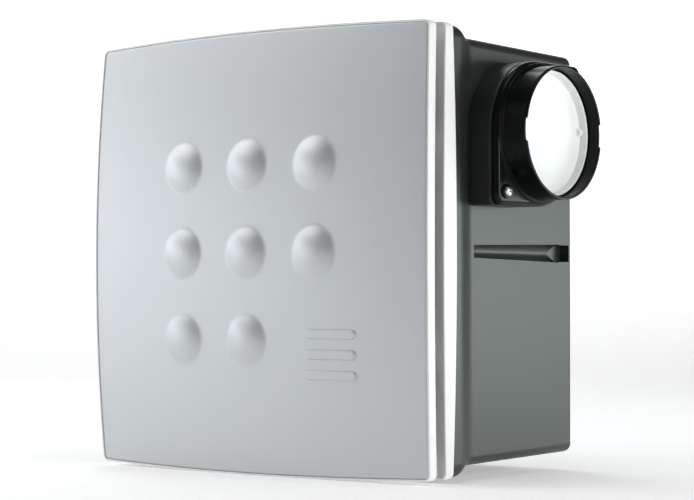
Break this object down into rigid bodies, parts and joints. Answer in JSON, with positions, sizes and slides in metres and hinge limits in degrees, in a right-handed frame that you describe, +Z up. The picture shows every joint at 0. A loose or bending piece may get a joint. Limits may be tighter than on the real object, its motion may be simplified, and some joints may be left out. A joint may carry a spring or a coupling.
{
  "type": "recessed extract ventilation unit",
  "caption": "Square recessed extract ventilation unit: crowned silver front panel with raised domes, white wall frame, black recess box, side duct spigot with backdraught flap.",
  "frame": {"origin": "centre of the recess box's rear face", "axes": "+X to the right seen from the room, towards the duct spigot; +Y rearwards into the wall; +Z up"},
  "size_m": [0.369, 0.2104, 0.3316],
  "materials": {
    "silver_facing": "satin silver, fine metallic flake",
    "white_plastic": "smooth white moulding",
    "flap_white": "thin translucent white moulding",
    "black_plastic": "satin black moulding",
    "spigot_black": "satin black moulding",
    "grey_plastic": "glass-filled grey moulding",
    "impeller_plastic": "light grey moulding",
    "foam": "closed-cell foam",
    "rubber": "soft black rubber",
    "zinc": "bright zinc plate",
    "steel": "ground steel",
    "galvanised": "galvanised sheet",
    "laminations": "stacked electrical steel",
    "copper": "enamelled copper",
    "bronze": "sintered bronze",
    "cast_alloy": "die-cast alloy",
    "brass": "plain brass",
    "filter_mat": "white synthetic mat",
    "lead_sleeve": "woven sleeve"
  },
  "bodies": {
    "housing": {"recess_box": "black_plastic", "inlet_frame": "white_plastic", "frame_screws": "zinc", "panel_clips": "steel", "duct_spigot": "spigot_black", "spigot_gasket": "foam", "spigot_screws": "zinc", "volute_housing": "grey_plastic", "volute_cover": "grey_plastic", "cover_screws": "zinc", "lug_screws": "zinc", "outlet_seal": "foam", "motor_plate": "galvanised", "motor_grommets": "rubber", "motor_plate_screws": "zinc", "stator_stack": "laminations", "coil_bobbin": "white_plastic", "coil_winding": "copper", "shading_rings": "copper", "front_bracket": "cast_alloy", "rear_bracket": "cast_alloy", "front_bush": "bronze", "rear_bush": "bronze", "motor_bolts": "zinc", "motor_lead": "lead_sleeve", "terminal_base": "white_plastic", "terminal_clamps": "brass", "terminal_screws": "zinc", "terminal_cover": "white_plastic", "terminal_cover_screw": "zinc", "cable_grommet": "rubber", "cable_clamp": "grey_plastic", "cable_clamp_screws": "zinc"},
    "panel": {"front_panel": "silver_facing", "panel_carrier": "white_plastic"},
    "filter": {"filter_frame": "white_plastic", "filter_grid": "white_plastic", "filter_pad": "filter_mat"},
    "flap": {"backdraught_flap": "flap_white", "flap_pins": "steel"},
    "fan": {"impeller": "impeller_plastic", "impeller_hub": "cast_alloy", "impeller_clip": "steel", "shaft": "steel", "rotor_core": "laminations", "rotor_end_rings": "cast_alloy", "thrust_washers": "bronze"}
  },
  "joints": [
    {"name": "panel_pull", "type": "slide", "parent": "housing", "child": "panel", "axis": [0, -1, 0], "range_m": [0, 0.06]},
    {"name": "filter_pull", "type": "slide", "parent": "housing", "child": "filter", "axis": [0, -1, 0], "range_m": [0, 0.03]},
    {"name": "flap_swing", "type": "hinge", "parent": "housing", "child": "flap", "pos_m": [0.1867, -0.0852, 0.0896], "axis": [0, -1, 0], "range_deg": [0, 80]},
    {"name": "fan_spin", "type": "hinge", "parent": "housing", "child": "fan", "pos_m": [-0.02908, -0.0565, 0.0089], "axis": [0, 1, 0], "continuous": true}
  ],
  "couplings": [
    {"joint": "filter_pull", "follows": "panel_pull", "ratio": 0.5}
  ]
}
